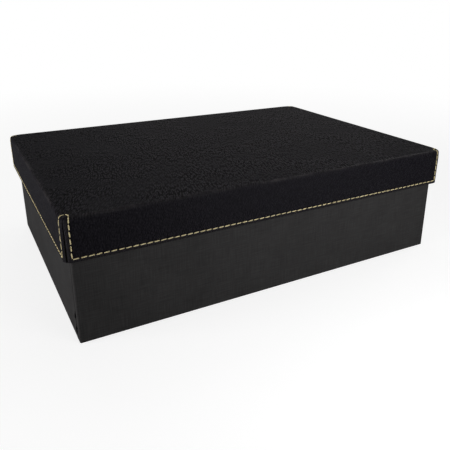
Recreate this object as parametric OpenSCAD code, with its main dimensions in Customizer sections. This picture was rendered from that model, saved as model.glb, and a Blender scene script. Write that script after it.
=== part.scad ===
// Rigid stationery box with a shallow lid that lifts off, covered in stitched leatherette.
// The origin is the centre of the underside, +X runs along the long side and +Z is up.

/* [Lid] */
// Length of the lid over its leatherette
lid_l = 335; // [250:1:420]
// Width of the lid over its leatherette
lid_w = 239.5; // [180:0.5:320]
// Height of the closed box
box_h = 95.5; // [70:0.5:140]
// Depth of the lid's skirt
skirt_h = 31.7; // [24:0.1:45]
// Radius of the lid's upright corners
lid_corner_r = 4.3; // [4.1:0.1:7]
// Radius of the lid's top edge
lid_edge_r = 1.8; // [1.3:0.1:2.4]
// Thickness of the leatherette
cover_t = 1.2; // [0.8:0.1:1.6]
// Thickness of the lid's greyboard
lid_board_t = 2; // [1.5:0.1:3]
// Thickness of the paper that lines the lid
lid_lining_t = 0.3; // [0.2:0.05:0.5]
// Gap on each side between the lid's lining and the base
lid_gap = 1.3; // [0.8:0.1:2.5]

/* [Corner slits] */
// Width of a slit at its top
slit_top_w = 0.5; // [0.3:0.1:1]
// Width of a slit at the hem
slit_hem_w = 1.2; // [0.8:0.1:2]
// Distance from the lid's top down to where a slit starts
slit_drop = 2.6; // [2.2:0.1:6]

/* [Stitching] */
// Length of one stitch from hole to hole
stitch_pitch = 4.9; // [3.5:0.1:7]
// Leatherette that shows between two stitches
stitch_gap = 0.8; // [0.5:0.1:1.2]
// Width of the thread
thread_w = 0.8; // [0.5:0.05:1]
// Height of the thread
thread_h = 0.55; // [0.4:0.05:0.8]
// Width of the groove that the thread pulls into the leatherette
groove_w = 1; // [1:0.05:1.2]
// Depth of that groove
groove_d = 0.25; // [0.1:0.05:0.35]
// Gap under the thread where it bends over the lid's top edge
bend_gap = 0.1; // [0.08:0.01:0.15]
// Height of the hem seam above the lid's lower edge
hem_h = 3; // [2:0.1:6]
// Distance of the seam's legs from where the upright corners turn flat
leg_margin = 0.6; // [0.6:0.1:4]
// Straight run of the seam on the lid's top, before it turns the corner
crown_run = 1.1; // [0.6:0.1:1.5]

/* [Base] */
// Thickness of the base's greyboard
base_board_t = 2.5; // [2:0.1:4]
// Thickness of the base's wrap
wrap_t = 0.6; // [0.4:0.05:0.8]
// Radius of the base's upright corners
base_corner_r = 1.2; // [1.1:0.1:2]
// Radius of the base's lower edge
base_edge_r = 1; // [0.5:0.1:1]
// Depth that the wrap is turned in over the rim
turn_in = 16; // [10:1:30]
// Depth that the wrap is turned under the floor
turn_under = 16; // [10:1:30]
// Distance of the wrap's seam from the front left corner
seam_inset = 6.2; // [5:0.1:12]
// Width of the wrap's seam
seam_w = 0.3; // [0.2:0.05:0.6]
// Thickness of the sheet under the base
sheet_t = 0.4; // [0.3:0.05:0.8]
// Margin of the wrap that shows round the sheet under the base
sheet_margin = 4; // [3:0.5:8]

/* [Lining and stays] */
// Thickness of the paper that lines the base's walls
wall_lining_t = 0.3; // [0.2:0.05:0.5]
// Thickness of the paper that lines the base's floor
floor_lining_t = 0.4; // [0.2:0.05:0.8]
// Margin of the wrap that shows inside, under the rim
reveal = 4; // [2:0.5:8]
// Thickness of the paper stays that hold the corners
stay_t = 0.2; // [0.1:0.05:0.3]
// Reach of a stay along each wall
stay_reach = 18; // [12:1:30]

/* [Hidden] */
$fn = 48;
eps = 0.01;

greyboard = [0.55, 0.53, 0.49];
leatherette = [0.11, 0.11, 0.12];
wrap_black = [0.18, 0.17, 0.17];
lining_black = [0.09, 0.09, 0.1];
stay_brown = [0.16, 0.13, 0.11];
thread_cream = [0.86, 0.83, 0.7];

// Lid, from its top down
lid_board_l = lid_l - 2 * cover_t;
lid_board_w = lid_w - 2 * cover_t;
lid_board_r = lid_corner_r - cover_t;
lid_in_l = lid_board_l - 2 * lid_board_t;
lid_in_w = lid_board_w - 2 * lid_board_t;
lid_clear_l = lid_in_l - 2 * lid_lining_t;
lid_clear_w = lid_in_w - 2 * lid_lining_t;
lid_clear_r = lid_corner_r - cover_t - lid_board_t - lid_lining_t;
skirt_z = box_h - skirt_h;
lip_top_z = skirt_z + cover_t;
lid_board_top_z = box_h - cover_t;
lid_ceiling_z = lid_board_top_z - lid_board_t;
rim_z = lid_ceiling_z - lid_lining_t;

// Seam on the lid
hem_z = skirt_z + hem_h;
leg_inset = lid_corner_r + leg_margin;
edge_z = box_h - lid_edge_r;
crown_r = leg_inset - lid_edge_r - crown_run;

// Base, from its underside up
base_l = lid_clear_l - 2 * lid_gap;
base_w = lid_clear_w - 2 * lid_gap;
base_board_l = base_l - 2 * wrap_t;
base_board_w = base_w - 2 * wrap_t;
base_board_r = base_corner_r - wrap_t;
base_in_l = base_board_l - 2 * base_board_t;
base_in_w = base_board_w - 2 * base_board_t;
room_l = base_in_l - 2 * (wrap_t + wall_lining_t);
room_w = base_in_w - 2 * (wrap_t + wall_lining_t);
floor_z = sheet_t + wrap_t;
floor_top_z = floor_z + base_board_t;
base_board_top_z = rim_z - wrap_t;
turn_in_z = rim_z - turn_in;
lining_top_z = rim_z - reveal;

// A rectangle with round corners
module rounded_rect(l, w, r) {
  square([l - 2 * r, w], center = true);
  square([l, w - 2 * r], center = true);
  for (x = [-1, 1], y = [-1, 1]) {
    translate([x * (l / 2 - r), y * (w / 2 - r)]) circle(r);
  }
}

// An upright slab with round corners
module slab(l, w, r, z0, z1) {
  translate([0, 0, z0]) linear_extrude(z1 - z0) rounded_rect(l, w, r);
}

// An upright slab with square corners
module block(l, w, z0, z1) {
  translate([-l / 2, -w / 2, z0]) cube([l, w, z1 - z0]);
}

// Children at the four corners of a rectangle, turned so that their +X and +Y face outwards
module at_corners(l, w) {
  for (i = [0:3]) {
    sx = (i == 0 || i == 3) ? 1 : -1;
    sy = (i < 2) ? 1 : -1;
    translate([sx * l / 2, sy * w / 2, 0]) rotate(90 * i) children();
  }
}

// A quarter of a disc
module quarter_disc(r) {
  intersection() {
    circle(r);
    square(r);
  }
}

// The rounded upper edge of a slab, from z up to z + e
module soft_edge(l, w, r, e, z) {
  slab(l - 2 * e, w - 2 * e, r - e, z, z + e);
  for (side = [0:3]) {
    run = (side % 2 == 0) ? w - 2 * r : l - 2 * r;
    reach = ((side % 2 == 0) ? l : w) / 2 - e;
    rotate(90 * side) translate([reach, run / 2, z]) rotate([90, 0, 0]) linear_extrude(run) quarter_disc(e);
  }
  at_corners(l - 2 * r, w - 2 * r) {
    translate([0, 0, z]) rotate_extrude(angle = 90) translate([r - e, 0]) quarter_disc(e);
  }
}

// Two boards of a glued rim run the whole length; their outer corners are sanded round
module long_board(l, w, r, t, z0, z1, side) {
  intersection() {
    slab(l, w, r, z0, z1);
    translate([-l / 2, side > 0 ? w / 2 - t : -w / 2, z0]) cube([l, t, z1 - z0]);
  }
}

// The other two fit between them
module short_board(l, w, r, t, z0, z1, side) {
  intersection() {
    slab(l, w, r, z0, z1);
    translate([side > 0 ? l / 2 - t : -l / 2, t - w / 2, z0]) cube([t, w - 2 * t, z1 - z0]);
  }
}

// Paper stays, folded round the outer corners of four boards
module corner_stays(l, w, r, z0, z1) {
  difference() {
    slab(l + 2 * stay_t, w + 2 * stay_t, r + stay_t, z0, z1);
    slab(l, w, r, z0 - eps, z1 + eps);
    block(l + 4 * stay_t, w - 2 * stay_reach, z0 - eps, z1 + eps);
    block(l - 2 * stay_reach, w + 4 * stay_t, z0 - eps, z1 + eps);
  }
}

// Greyboard of the base

module base_floor_board() {
  color(greyboard) block(base_in_l, base_in_w, floor_z, floor_top_z);
}

module base_front_board() {
  color(greyboard)
    long_board(base_board_l, base_board_w, base_board_r, base_board_t, floor_z, base_board_top_z, -1);
}

module base_back_board() {
  color(greyboard)
    long_board(base_board_l, base_board_w, base_board_r, base_board_t, floor_z, base_board_top_z, 1);
}

module base_left_board() {
  color(greyboard)
    short_board(base_board_l, base_board_w, base_board_r, base_board_t, floor_z, base_board_top_z, -1);
}

module base_right_board() {
  color(greyboard)
    short_board(base_board_l, base_board_w, base_board_r, base_board_t, floor_z, base_board_top_z, 1);
}

module base_corner_stays() {
  color(stay_brown) corner_stays(base_board_l, base_board_w, base_board_r, floor_z, base_board_top_z);
}

// The wrap: one strip round the walls, turned under the floor and in over the rim
module base_wrap() {
  color(wrap_black) difference() {
    union() {
      slab(base_l, base_w, base_corner_r, sheet_t + base_edge_r, rim_z);
      mirror([0, 0, 1]) soft_edge(base_l, base_w, base_corner_r, base_edge_r, -sheet_t - base_edge_r);
    }
    // the boards and their stays
    difference() {
      slab(base_board_l, base_board_w, base_board_r, floor_z, base_board_top_z);
      block(base_in_l, base_in_w, turn_in_z, rim_z);
    }
    corner_stays(base_board_l, base_board_w, base_board_r, floor_z, base_board_top_z);
    // the room inside
    block(base_in_l - 2 * wrap_t, base_in_w - 2 * wrap_t, floor_z, rim_z + eps);
    // the floor inside the turn-unders
    block(base_board_l - 2 * turn_under, base_board_w - 2 * turn_under, 0, floor_z + eps);
    wrap_seam();
  }
}

// The two ends of the strip meet on the left side, beside the front corner
module wrap_seam() {
  translate([-base_l / 2 - eps, seam_inset - base_w / 2, 0])
    cube([wrap_t + turn_under + eps, seam_w, box_h]);
}

// Card pasted over the turn-unders; the box rests on it
module base_bottom_sheet() {
  color(lining_black)
    slab(base_l - 2 * sheet_margin, base_w - 2 * sheet_margin, base_corner_r, 0, sheet_t);
}

// The lining steps inwards where it passes over the wrap's turn-in
module base_wall_lining() {
  color(lining_black) difference() {
    union() {
      block(base_in_l, base_in_w, floor_top_z, turn_in_z);
      block(base_in_l - 2 * wrap_t, base_in_w - 2 * wrap_t, turn_in_z - eps, lining_top_z);
    }
    block(
      base_in_l - 2 * wall_lining_t,
      base_in_w - 2 * wall_lining_t,
      floor_top_z - eps,
      turn_in_z - wall_lining_t
    );
    block(room_l, room_w, floor_top_z, lining_top_z + eps);
  }
}

module base_floor_lining() {
  color(lining_black)
    block(
      base_in_l - 2 * wall_lining_t,
      base_in_w - 2 * wall_lining_t,
      floor_top_z,
      floor_top_z + floor_lining_t
    );
}

// Greyboard of the lid

module lid_top_board() {
  color(greyboard) slab(lid_board_l, lid_board_w, lid_board_r, lid_ceiling_z, lid_board_top_z);
}

module lid_front_board() {
  color(greyboard)
    long_board(lid_board_l, lid_board_w, lid_board_r, lid_board_t, lip_top_z, lid_ceiling_z, -1);
}

module lid_back_board() {
  color(greyboard)
    long_board(lid_board_l, lid_board_w, lid_board_r, lid_board_t, lip_top_z, lid_ceiling_z, 1);
}

module lid_left_board() {
  color(greyboard)
    short_board(lid_board_l, lid_board_w, lid_board_r, lid_board_t, lip_top_z, lid_ceiling_z, -1);
}

module lid_right_board() {
  color(greyboard)
    short_board(lid_board_l, lid_board_w, lid_board_r, lid_board_t, lip_top_z, lid_ceiling_z, 1);
}

module lid_corner_stays() {
  color(stay_brown) corner_stays(lid_board_l, lid_board_w, lid_board_r, lip_top_z, lid_ceiling_z);
}

// The leatherette: a top with four flaps, slit at the corners, its hem turned under the rim
module lid_cover() {
  color(leatherette) difference() {
    union() {
      slab(lid_l, lid_w, lid_corner_r, skirt_z, edge_z);
      soft_edge(lid_l, lid_w, lid_corner_r, lid_edge_r, edge_z);
    }
    slab(lid_board_l, lid_board_w, lid_board_r, lip_top_z, lid_board_top_z);
    block(lid_clear_l, lid_clear_w, skirt_z - eps, lip_top_z + eps);
    corner_stays(lid_board_l, lid_board_w, lid_board_r, lip_top_z, lid_ceiling_z);
    corner_slits();
    seam_grooves();
  }
}

// Each slit widens towards the hem
module corner_slits() {
  slit_start = lid_clear_r * sqrt(2) - slit_hem_w;
  at_corners(lid_l - 2 * lid_corner_r, lid_w - 2 * lid_corner_r) {
    rotate(45) translate([slit_start, 0, 0]) rotate([90, 0, 90])
      linear_extrude(lid_corner_r - slit_start + eps) polygon([
        [-slit_hem_w / 2, skirt_z - eps],
        [slit_hem_w / 2, skirt_z - eps],
        [slit_top_w / 2, box_h - slit_drop],
        [-slit_top_w / 2, box_h - slit_drop]
      ]);
  }
}

// Children on each side of the lid, with +X along the side, +Y up and +Z outwards from its face
module on_sides() {
  for (side = [0:3]) {
    reach = ((side % 2 == 0) ? lid_w : lid_l) / 2;
    $run = ((side % 2 == 0) ? lid_l : lid_w) - 2 * leg_inset;
    rotate(90 * side) translate([0, -reach, 0]) rotate([90, 0, 0]) children();
  }
}

// At each corner of the seam, child 0 bends over the top edge in the XY plane, once from each
// leg, and child 1 turns on the lid's top between the two
module at_arches() {
  at_corners(lid_l - 2 * leg_inset, lid_w - 2 * leg_inset) {
    translate([0, leg_inset - lid_edge_r, edge_z]) rotate([90, 0, 90]) children(0);
    translate([leg_inset - lid_edge_r, 0, edge_z]) rotate([90, 0, 0]) children(0);
    translate([crown_r, crown_r, box_h]) rotate(180) children(1);
  }
}

// The seam sinks into the leatherette along the hem, up both legs and round each arch
module seam_grooves() {
  on_sides() {
    translate([-($run + groove_w) / 2, hem_z - groove_w / 2, -groove_d])
      cube([$run + groove_w, groove_w, groove_d + eps]);
    for (end = [-1, 1]) {
      translate([end * $run / 2 - groove_w / 2, hem_z - groove_w / 2, -groove_d])
        cube([groove_w, edge_z - hem_z + groove_w / 2, groove_d + eps]);
    }
  }
  at_arches() {
    bend_groove();
    crown_groove();
  }
}

// Over the edge the groove clears the thread a little, and on the top it seats the thread again
module bend_groove() {
  bend_r = lid_edge_r - groove_d - bend_gap;
  rotate_extrude(angle = 90)
    translate([bend_r, -groove_w / 2]) square([lid_edge_r + eps - bend_r, groove_w]);
  translate([-crown_run, lid_edge_r - groove_d, -groove_w / 2])
    cube([crown_run, groove_d + eps, groove_w]);
}

module crown_groove() {
  rotate_extrude(angle = 90)
    translate([crown_r - groove_w / 2, -groove_d]) square([groove_w, groove_d + eps]);
}

// Section of the thread where it lies in its groove, flat below and round above
module thread_section() {
  shoulder_h = thread_h / 2;
  crown_w = thread_w / 2;
  polygon([
    [-thread_w / 2, 0],
    [thread_w / 2, 0],
    [thread_w / 2, shoulder_h],
    [crown_w / 2, thread_h],
    [-crown_w / 2, thread_h],
    [-thread_w / 2, shoulder_h]
  ]);
}

// Stitches from one point to another; run is the distance and the count fits it
module stitch_row(run) {
  count = round(run / stitch_pitch);
  pitch = run / count;
  for (i = [0:count - 1]) {
    translate([i * pitch + stitch_gap / 2, 0, -groove_d])
      rotate([90, 0, 90]) linear_extrude(pitch - stitch_gap) thread_section();
  }
}

// The leg's stitches end where the edge's round starts
module leg_row(run) {
  translate([0, stitch_gap / 2, 0]) rotate(90) stitch_row(run);
}

// The angle that a length takes round a rod of radius r
function arc_angle(length, r) = length / r * 180 / PI;

// A stitch that bends over the top edge in the XY plane, and lies on the top beyond it
module bend_stitch() {
  bend_r = lid_edge_r - groove_d;
  start = arc_angle(stitch_gap / 2, bend_r);
  rotate(start) rotate_extrude(angle = 90 - start) translate([bend_r, 0]) rotate(-90) thread_section();
  translate([0, bend_r, 0]) rotate([0, -90, 0])
    linear_extrude(crown_run - stitch_gap / 2) thread_section();
}

// A stitch that turns on the top, from one leg's line to the other's
module crown_stitch() {
  start = arc_angle(stitch_gap / 2, crown_r);
  translate([0, 0, -groove_d]) rotate(start)
    rotate_extrude(angle = 90 - 2 * start) translate([crown_r, 0]) thread_section();
}

// The contrast thread: a hem row and two legs on each side, and an arch at each corner
module lid_stitching() {
  color(thread_cream) {
    on_sides() {
      translate([-$run / 2, hem_z, 0]) stitch_row($run);
      for (end = [-1, 1]) {
        translate([end * $run / 2, hem_z, 0]) leg_row(edge_z - hem_z - stitch_gap / 2);
      }
    }
    at_arches() {
      bend_stitch();
      crown_stitch();
    }
  }
}

module lid_skirt_lining() {
  color(lining_black) difference() {
    block(lid_in_l, lid_in_w, lip_top_z, lid_ceiling_z);
    block(lid_clear_l, lid_clear_w, lip_top_z - eps, lid_ceiling_z + eps);
  }
}

module lid_top_lining() {
  color(lining_black) block(lid_clear_l, lid_clear_w, rim_z, lid_ceiling_z);
}

base_floor_board();
base_front_board();
base_back_board();
base_left_board();
base_right_board();
base_corner_stays();
base_wrap();
base_bottom_sheet();
base_wall_lining();
base_floor_lining();
lid_top_board();
lid_front_board();
lid_back_board();
lid_left_board();
lid_right_board();
lid_corner_stays();
lid_cover();
lid_stitching();
lid_skirt_lining();
lid_top_lining();
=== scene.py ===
"""A rigid stationery box with a lift-off lid, covered in stitched leatherette, on a pale table."""

from math import atan2, ceil, cos, exp, hypot, pi, radians, sin

import bmesh
import bpy
from mathutils import Matrix, Vector, noise


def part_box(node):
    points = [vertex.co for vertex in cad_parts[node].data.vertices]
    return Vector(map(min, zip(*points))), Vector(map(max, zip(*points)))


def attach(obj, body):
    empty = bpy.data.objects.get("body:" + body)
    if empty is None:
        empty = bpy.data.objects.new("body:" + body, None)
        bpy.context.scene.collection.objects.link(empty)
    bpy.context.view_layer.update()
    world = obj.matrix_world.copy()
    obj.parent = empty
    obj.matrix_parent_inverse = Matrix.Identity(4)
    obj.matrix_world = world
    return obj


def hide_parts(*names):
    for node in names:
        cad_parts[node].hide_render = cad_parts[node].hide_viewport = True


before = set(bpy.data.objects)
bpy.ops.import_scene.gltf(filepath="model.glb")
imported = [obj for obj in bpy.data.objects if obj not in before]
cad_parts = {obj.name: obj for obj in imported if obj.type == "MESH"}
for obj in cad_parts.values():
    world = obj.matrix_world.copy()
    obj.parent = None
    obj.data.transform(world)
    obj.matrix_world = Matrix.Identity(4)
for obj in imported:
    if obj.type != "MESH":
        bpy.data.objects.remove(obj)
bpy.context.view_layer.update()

# ---------------------------------------------------------------------------------------------
# Camera. It stands in front of the box's long side, off its left end, and looks down on the lid.
# Its axis meets the picture above the middle and a little to the right, so the lens is shifted.

MM = 0.001
IMAGE = 450
FOCAL_PX = 524.9
LENS_AXIS_PX = (239.1, 186.9)
SENSOR = 36.0
CAMERA_PLACE = Vector((-216.18, -429.65, 221.47)) * MM
CAMERA_TURN = radians(-29.31)
CAMERA_DIP = radians(19.56)
CAMERA_ROLL = radians(0.32)

camera_data = bpy.data.cameras.new("camera")
camera_data.sensor_width = SENSOR
camera_data.lens = FOCAL_PX / IMAGE * SENSOR
camera_data.shift_x = (IMAGE / 2 - LENS_AXIS_PX[0]) / IMAGE
camera_data.shift_y = (LENS_AXIS_PX[1] - IMAGE / 2) / IMAGE
camera = bpy.data.objects.new("camera", camera_data)
camera.matrix_world = (
    Matrix.Translation(CAMERA_PLACE)
    @ Matrix.Rotation(CAMERA_TURN, 4, "Z")
    @ Matrix.Rotation(pi / 2 - CAMERA_DIP, 4, "X")
    @ Matrix.Rotation(CAMERA_ROLL, 4, "Z")
)
bpy.context.scene.collection.objects.link(camera)
bpy.context.scene.camera = camera

# ---------------------------------------------------------------------------------------------
# Table, studio and lamps. A pale matt table under soft light: the table keeps the box's shadow,
# and the picture shows it near white. The left lamp is the strongest, and only its weak twin gives
# sheen. The low lamps behind light the grain of the lid's top.

TABLE_SIZE = 200.0
TABLE_COLOUR = (0.35, 0.35, 0.35, 1)
TABLE_GLOW = 0.8
TABLE_FADE = (0.35, 1.1)
TABLE_Z = -0.1 * MM


def add_node(material, kind, **values):
    """A node of a material, world or group; names with an initial capital are its inputs."""
    node = material.nodes.new(kind)
    for name, value in values.items():
        label = name.replace("_", " ")
        if name[0].isupper() and label in node.inputs:
            node.inputs[label].default_value = value
        else:
            setattr(node, name, value)
    return node


table_mesh = bmesh.new()
bmesh.ops.create_grid(
    table_mesh, x_segments=2, y_segments=2, size=TABLE_SIZE / 2,
    matrix=Matrix.Translation((0, 0, TABLE_Z)),
)
table_data = bpy.data.meshes.new("table")
table_mesh.to_mesh(table_data)
table_mesh.free()
table = bpy.data.objects.new("table", table_data)
bpy.context.scene.collection.objects.link(table)

table_finish = bpy.data.materials.new("table_matt_white")
table_finish.use_nodes = True
tree = table_finish.node_tree
link = tree.links.new
tree.nodes.clear()
table_out = add_node(tree, "ShaderNodeOutputMaterial")
table_matt = add_node(tree, "ShaderNodeBsdfDiffuse", Color=TABLE_COLOUR)
table_glow = add_node(tree, "ShaderNodeEmission")
table_white = add_node(tree, "ShaderNodeEmission", Strength=1.0)
light_path = add_node(tree, "ShaderNodeLightPath")
glow_strength = add_node(tree, "ShaderNodeMath", operation="MULTIPLY")
glow_strength.inputs[1].default_value = TABLE_GLOW
table_lit = add_node(tree, "ShaderNodeAddShader")
table_place = add_node(tree, "ShaderNodeTexCoord")
away = add_node(tree, "ShaderNodeVectorMath", operation="LENGTH")
fade = add_node(tree, "ShaderNodeMapRange", interpolation_type="SMOOTHSTEP")
fade.inputs["From Min"].default_value, fade.inputs["From Max"].default_value = TABLE_FADE
fade_seen = add_node(tree, "ShaderNodeMath", operation="MULTIPLY")
table_mix = add_node(tree, "ShaderNodeMixShader")
table_side = add_node(tree, "ShaderNodeNewGeometry")
table_clear = add_node(tree, "ShaderNodeBsdfTransparent")
table_both = add_node(tree, "ShaderNodeMixShader")
link(light_path.outputs["Is Camera Ray"], glow_strength.inputs[0])
link(glow_strength.outputs[0], table_glow.inputs["Strength"])
link(table_matt.outputs[0], table_lit.inputs[0])
link(table_glow.outputs[0], table_lit.inputs[1])
link(table_place.outputs["Object"], away.inputs[0])
link(away.outputs["Value"], fade.inputs["Value"])
link(fade.outputs["Result"], fade_seen.inputs[0])
link(light_path.outputs["Is Camera Ray"], fade_seen.inputs[1])
link(fade_seen.outputs[0], table_mix.inputs[0])
link(table_lit.outputs[0], table_mix.inputs[1])
link(table_white.outputs[0], table_mix.inputs[2])
link(table_side.outputs["Backfacing"], table_both.inputs[0])
link(table_mix.outputs[0], table_both.inputs[1])
link(table_clear.outputs[0], table_both.inputs[2])
link(table_both.outputs[0], table_out.inputs["Surface"])
table.data.materials.append(table_finish)

studio = bpy.data.worlds.new("studio")
bpy.context.scene.world = studio
studio.use_nodes = True
tree = studio.node_tree
link = tree.links.new
tree.nodes.clear()
studio_out = add_node(tree, "ShaderNodeOutputWorld")
studio_white = add_node(tree, "ShaderNodeBackground", Color=(1, 1, 1, 1), Strength=1.0)
studio_dim = add_node(tree, "ShaderNodeBackground", Color=(1, 0.98, 0.97, 1), Strength=0.035)
studio_mix = add_node(tree, "ShaderNodeMixShader")
light_path = add_node(tree, "ShaderNodeLightPath")
link(light_path.outputs["Is Camera Ray"], studio_mix.inputs[0])
link(studio_dim.outputs[0], studio_mix.inputs[1])
link(studio_white.outputs[0], studio_mix.inputs[2])
link(studio_mix.outputs[0], studio_out.inputs["Surface"])

BOX_MIDDLE = (0, 0, 0.05)
ROSE_WHITE = (1, 0.95, 0.96)


def add_lamp(name, place, size, watts, colour=(1, 1, 1), height=None, aim=BOX_MIDDLE):
    """A soft lamp, square if it has no height of its own, that looks at a point of the box."""
    lamp_data = bpy.data.lights.new(name, "AREA")
    lamp_data.shape = "RECTANGLE"
    lamp_data.size = size
    lamp_data.size_y = height or size
    lamp_data.energy = watts
    lamp_data.color = colour
    lamp = bpy.data.objects.new(name, lamp_data)
    turn = (Vector(aim) - Vector(place)).to_track_quat("-Z", "Y")
    lamp.matrix_world = Matrix.Translation(place) @ turn.to_matrix().to_4x4()
    bpy.context.scene.collection.objects.link(lamp)
    return lamp


left_lamp = add_lamp("left_lamp", (-1.5, 0.0, 0.27), 0.9, 16, height=0.4)
left_lamp.visible_glossy = False
add_lamp("left_sheen_lamp", (-1.51, 0.0, 0.27), 0.9, 2.5, height=0.4)
add_lamp("front_lamp", (0.1, -0.44, 0.12), 0.3, 0.95, aim=(0.05, 0, 0.05))
add_lamp("right_lamp", (1.6, 0.2, 1.0), 0.9, 7)
add_lamp("rear_lamp", (0.1, 1.3, 1.5), 0.9, 4.2)
add_lamp("low_right_lamp", (1.5, 1.6, 0.45), 0.8, 0.57, ROSE_WHITE)
add_lamp("low_back_lamp", (0.8, 2.2, 0.42), 0.8, 0.52, ROSE_WHITE)
add_lamp("low_left_lamp", (0.1, 2.4, 0.45), 0.8, 0.12)

bpy.context.scene.view_settings.view_transform = "Standard"

# ---------------------------------------------------------------------------------------------
# Greyboard. The boards of the base and the lid: grey pulp board with flecks and fibres, cut
# square and glued. They keep their shape from the frame and get their finish here.


def new_finish(name, **values):
    """A material, its tree and its shader, whose plain values are given by socket name."""
    finish = bpy.data.materials.new(name)
    finish.use_nodes = True
    shader = finish.node_tree.nodes["Principled BSDF"]
    for socket, value in values.items():
        shader.inputs[socket.replace("_", " ")].default_value = value
    return finish, finish.node_tree, shader


def colour_ramp(tree, source, stops):
    """A ramp of colours over a factor; each stop is a position and a colour."""
    ramp = add_node(tree, "ShaderNodeValToRGB")
    for place, _ in stops[1:-1]:
        ramp.color_ramp.elements.new(place)
    for element, (place, colour) in zip(ramp.color_ramp.elements, stops):
        element.position = place
        element.color = (*colour, 1)
    tree.links.new(source, ramp.inputs["Fac"])
    return ramp.outputs["Color"]


def bump(tree, shader, height, depth):
    """Heights from 0 to 1 become relief of a depth in metres."""
    relief = add_node(tree, "ShaderNodeBump", Strength=1.0, Distance=depth)
    tree.links.new(height, relief.inputs["Height"])
    tree.links.new(relief.outputs["Normal"], shader.inputs["Normal"])


def give(finish, *names):
    """Puts a finish on nodes of the frame."""
    for name in names:
        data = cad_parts[name].data
        data.materials.clear()
        data.materials.append(finish)


def fibre_group():
    """Pulp fibres and flecks: Mottle is the cloudy tone, Fibre the fine relief, both 0 to 1."""
    group = bpy.data.node_groups.new("paper_fibres", "ShaderNodeTree")
    link = group.links.new
    group.interface.new_socket("Size", in_out="INPUT", socket_type="NodeSocketFloat")
    group.interface.new_socket("Mottle", in_out="OUTPUT", socket_type="NodeSocketFloat")
    group.interface.new_socket("Fibre", in_out="OUTPUT", socket_type="NodeSocketFloat")
    start = add_node(group, "NodeGroupInput")
    end = add_node(group, "NodeGroupOutput")
    place = add_node(group, "ShaderNodeTexCoord")
    divide = add_node(group, "ShaderNodeVectorMath", operation="SCALE")
    inverse = add_node(group, "ShaderNodeMath", operation="DIVIDE")
    inverse.inputs[0].default_value = 1.0
    link(start.outputs["Size"], inverse.inputs[1])
    link(place.outputs["Object"], divide.inputs[0])
    link(inverse.outputs[0], divide.inputs["Scale"])
    mottle = add_node(group, "ShaderNodeTexNoise", Scale=0.12, Detail=4.0, Roughness=0.6)
    fibre = add_node(
        group, "ShaderNodeTexNoise", Scale=1.0, Detail=3.0, Roughness=0.7, Distortion=1.5
    )
    for texture in (mottle, fibre):
        link(divide.outputs[0], texture.inputs["Vector"])
    link(mottle.outputs["Fac"], end.inputs["Mottle"])
    link(fibre.outputs["Fac"], end.inputs["Fibre"])
    return group


paper_fibres = fibre_group()


def paper_finish(name, stops, fibre_size, relief, roughness, specular):
    """Board, card or paper with raised fibres. Its tone, the mean of mottle and fibres, runs
    through two or three colours."""
    finish, tree, shader = new_finish(name, Roughness=roughness, Specular_IOR_Level=specular)
    fibres = add_node(tree, "ShaderNodeGroup", node_tree=paper_fibres)
    fibres.inputs["Size"].default_value = fibre_size
    tone = add_node(tree, "ShaderNodeMath", operation="MULTIPLY_ADD")
    tone.inputs[1].default_value = 0.5
    halved = add_node(tree, "ShaderNodeMath", operation="MULTIPLY")
    halved.inputs[1].default_value = 0.5
    tree.links.new(fibres.outputs["Mottle"], halved.inputs[0])
    tree.links.new(fibres.outputs["Fibre"], tone.inputs[0])
    tree.links.new(halved.outputs[0], tone.inputs[2])
    tree.links.new(colour_ramp(tree, tone.outputs[0], stops), shader.inputs["Base Color"])
    bump(tree, shader, fibres.outputs["Fibre"], relief)
    return finish


greyboard = paper_finish(
    "greyboard",
    [(0.3, (0.16, 0.145, 0.12)), (0.52, (0.27, 0.25, 0.21)), (0.72, (0.36, 0.335, 0.285))],
    fibre_size=0.9 * MM, relief=0.08 * MM, roughness=0.9, specular=0.2,
)
give(greyboard, *[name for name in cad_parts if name.endswith("_board")])

# ---------------------------------------------------------------------------------------------
# Corner stays. Gummed paper folded round the outer corners of the boards. Its near-black colour is
# painted shade: the lid's stays show as the dark bottom of the four slits.

corner_stay_painted_shade = paper_finish(
    "corner_stay_paper_painted_shade",
    [(0.3, (0.0015, 0.0014, 0.0013)), (0.7, (0.004, 0.0035, 0.003))],
    fibre_size=0.5 * MM, relief=0.03 * MM, roughness=0.95, specular=0.05,
)
give(corner_stay_painted_shade, "base_corner_stays", "lid_corner_stays")

# ---------------------------------------------------------------------------------------------
# Linings and bottom sheet. Black paper pasted on the walls, the floor and inside the lid, and a
# black card under the base, a little scuffed where it slides on the table.

lining_paper = paper_finish(
    "lining_paper",
    [(0.3, (0.011, 0.011, 0.012)), (0.7, (0.024, 0.024, 0.026))],
    fibre_size=0.45 * MM, relief=0.03 * MM, roughness=0.75, specular=0.25,
)
give(lining_paper, "base_wall_lining", "base_floor_lining", "lid_skirt_lining", "lid_top_lining")
bottom_card = paper_finish(
    "bottom_card",
    [(0.3, (0.010, 0.010, 0.011)), (0.62, (0.018, 0.018, 0.019)), (0.78, (0.035, 0.034, 0.033))],
    fibre_size=1.3 * MM, relief=0.03 * MM, roughness=0.65, specular=0.3,
)
give(bottom_card, "base_bottom_sheet")

# ---------------------------------------------------------------------------------------------
# Base wrap. One strip of charcoal covering with a fine linen grain, pasted round the walls and
# folded in over the rim and under the floor. Its ends meet on the left face beside the front
# corner, where the glue lets go in two places and the end stands up.

wrap_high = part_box("base_wrap")[1]
BASE_HALF_L = wrap_high.x
BASE_HALF_W = wrap_high.y
RIM_Z = wrap_high.z
UNDER_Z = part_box("base_bottom_sheet")[1].z
WRAP_T = 0.6 * MM
TURN_UNDER = 16.6 * MM
TURN_IN_Z = 76 * MM
TURN_IN_INSET = 3.7 * MM
BASE_CORNER_R = 1.2 * MM
BASE_EDGE_R = 1.0 * MM
RIM_R = 0.5 * MM
SUPPORT = 0.3 * MM
TURN_STEPS = 6
SHARP_FOLD = radians(50)
CLOSE = 0.01 * MM
MERGE = 0.001 * MM

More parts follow.
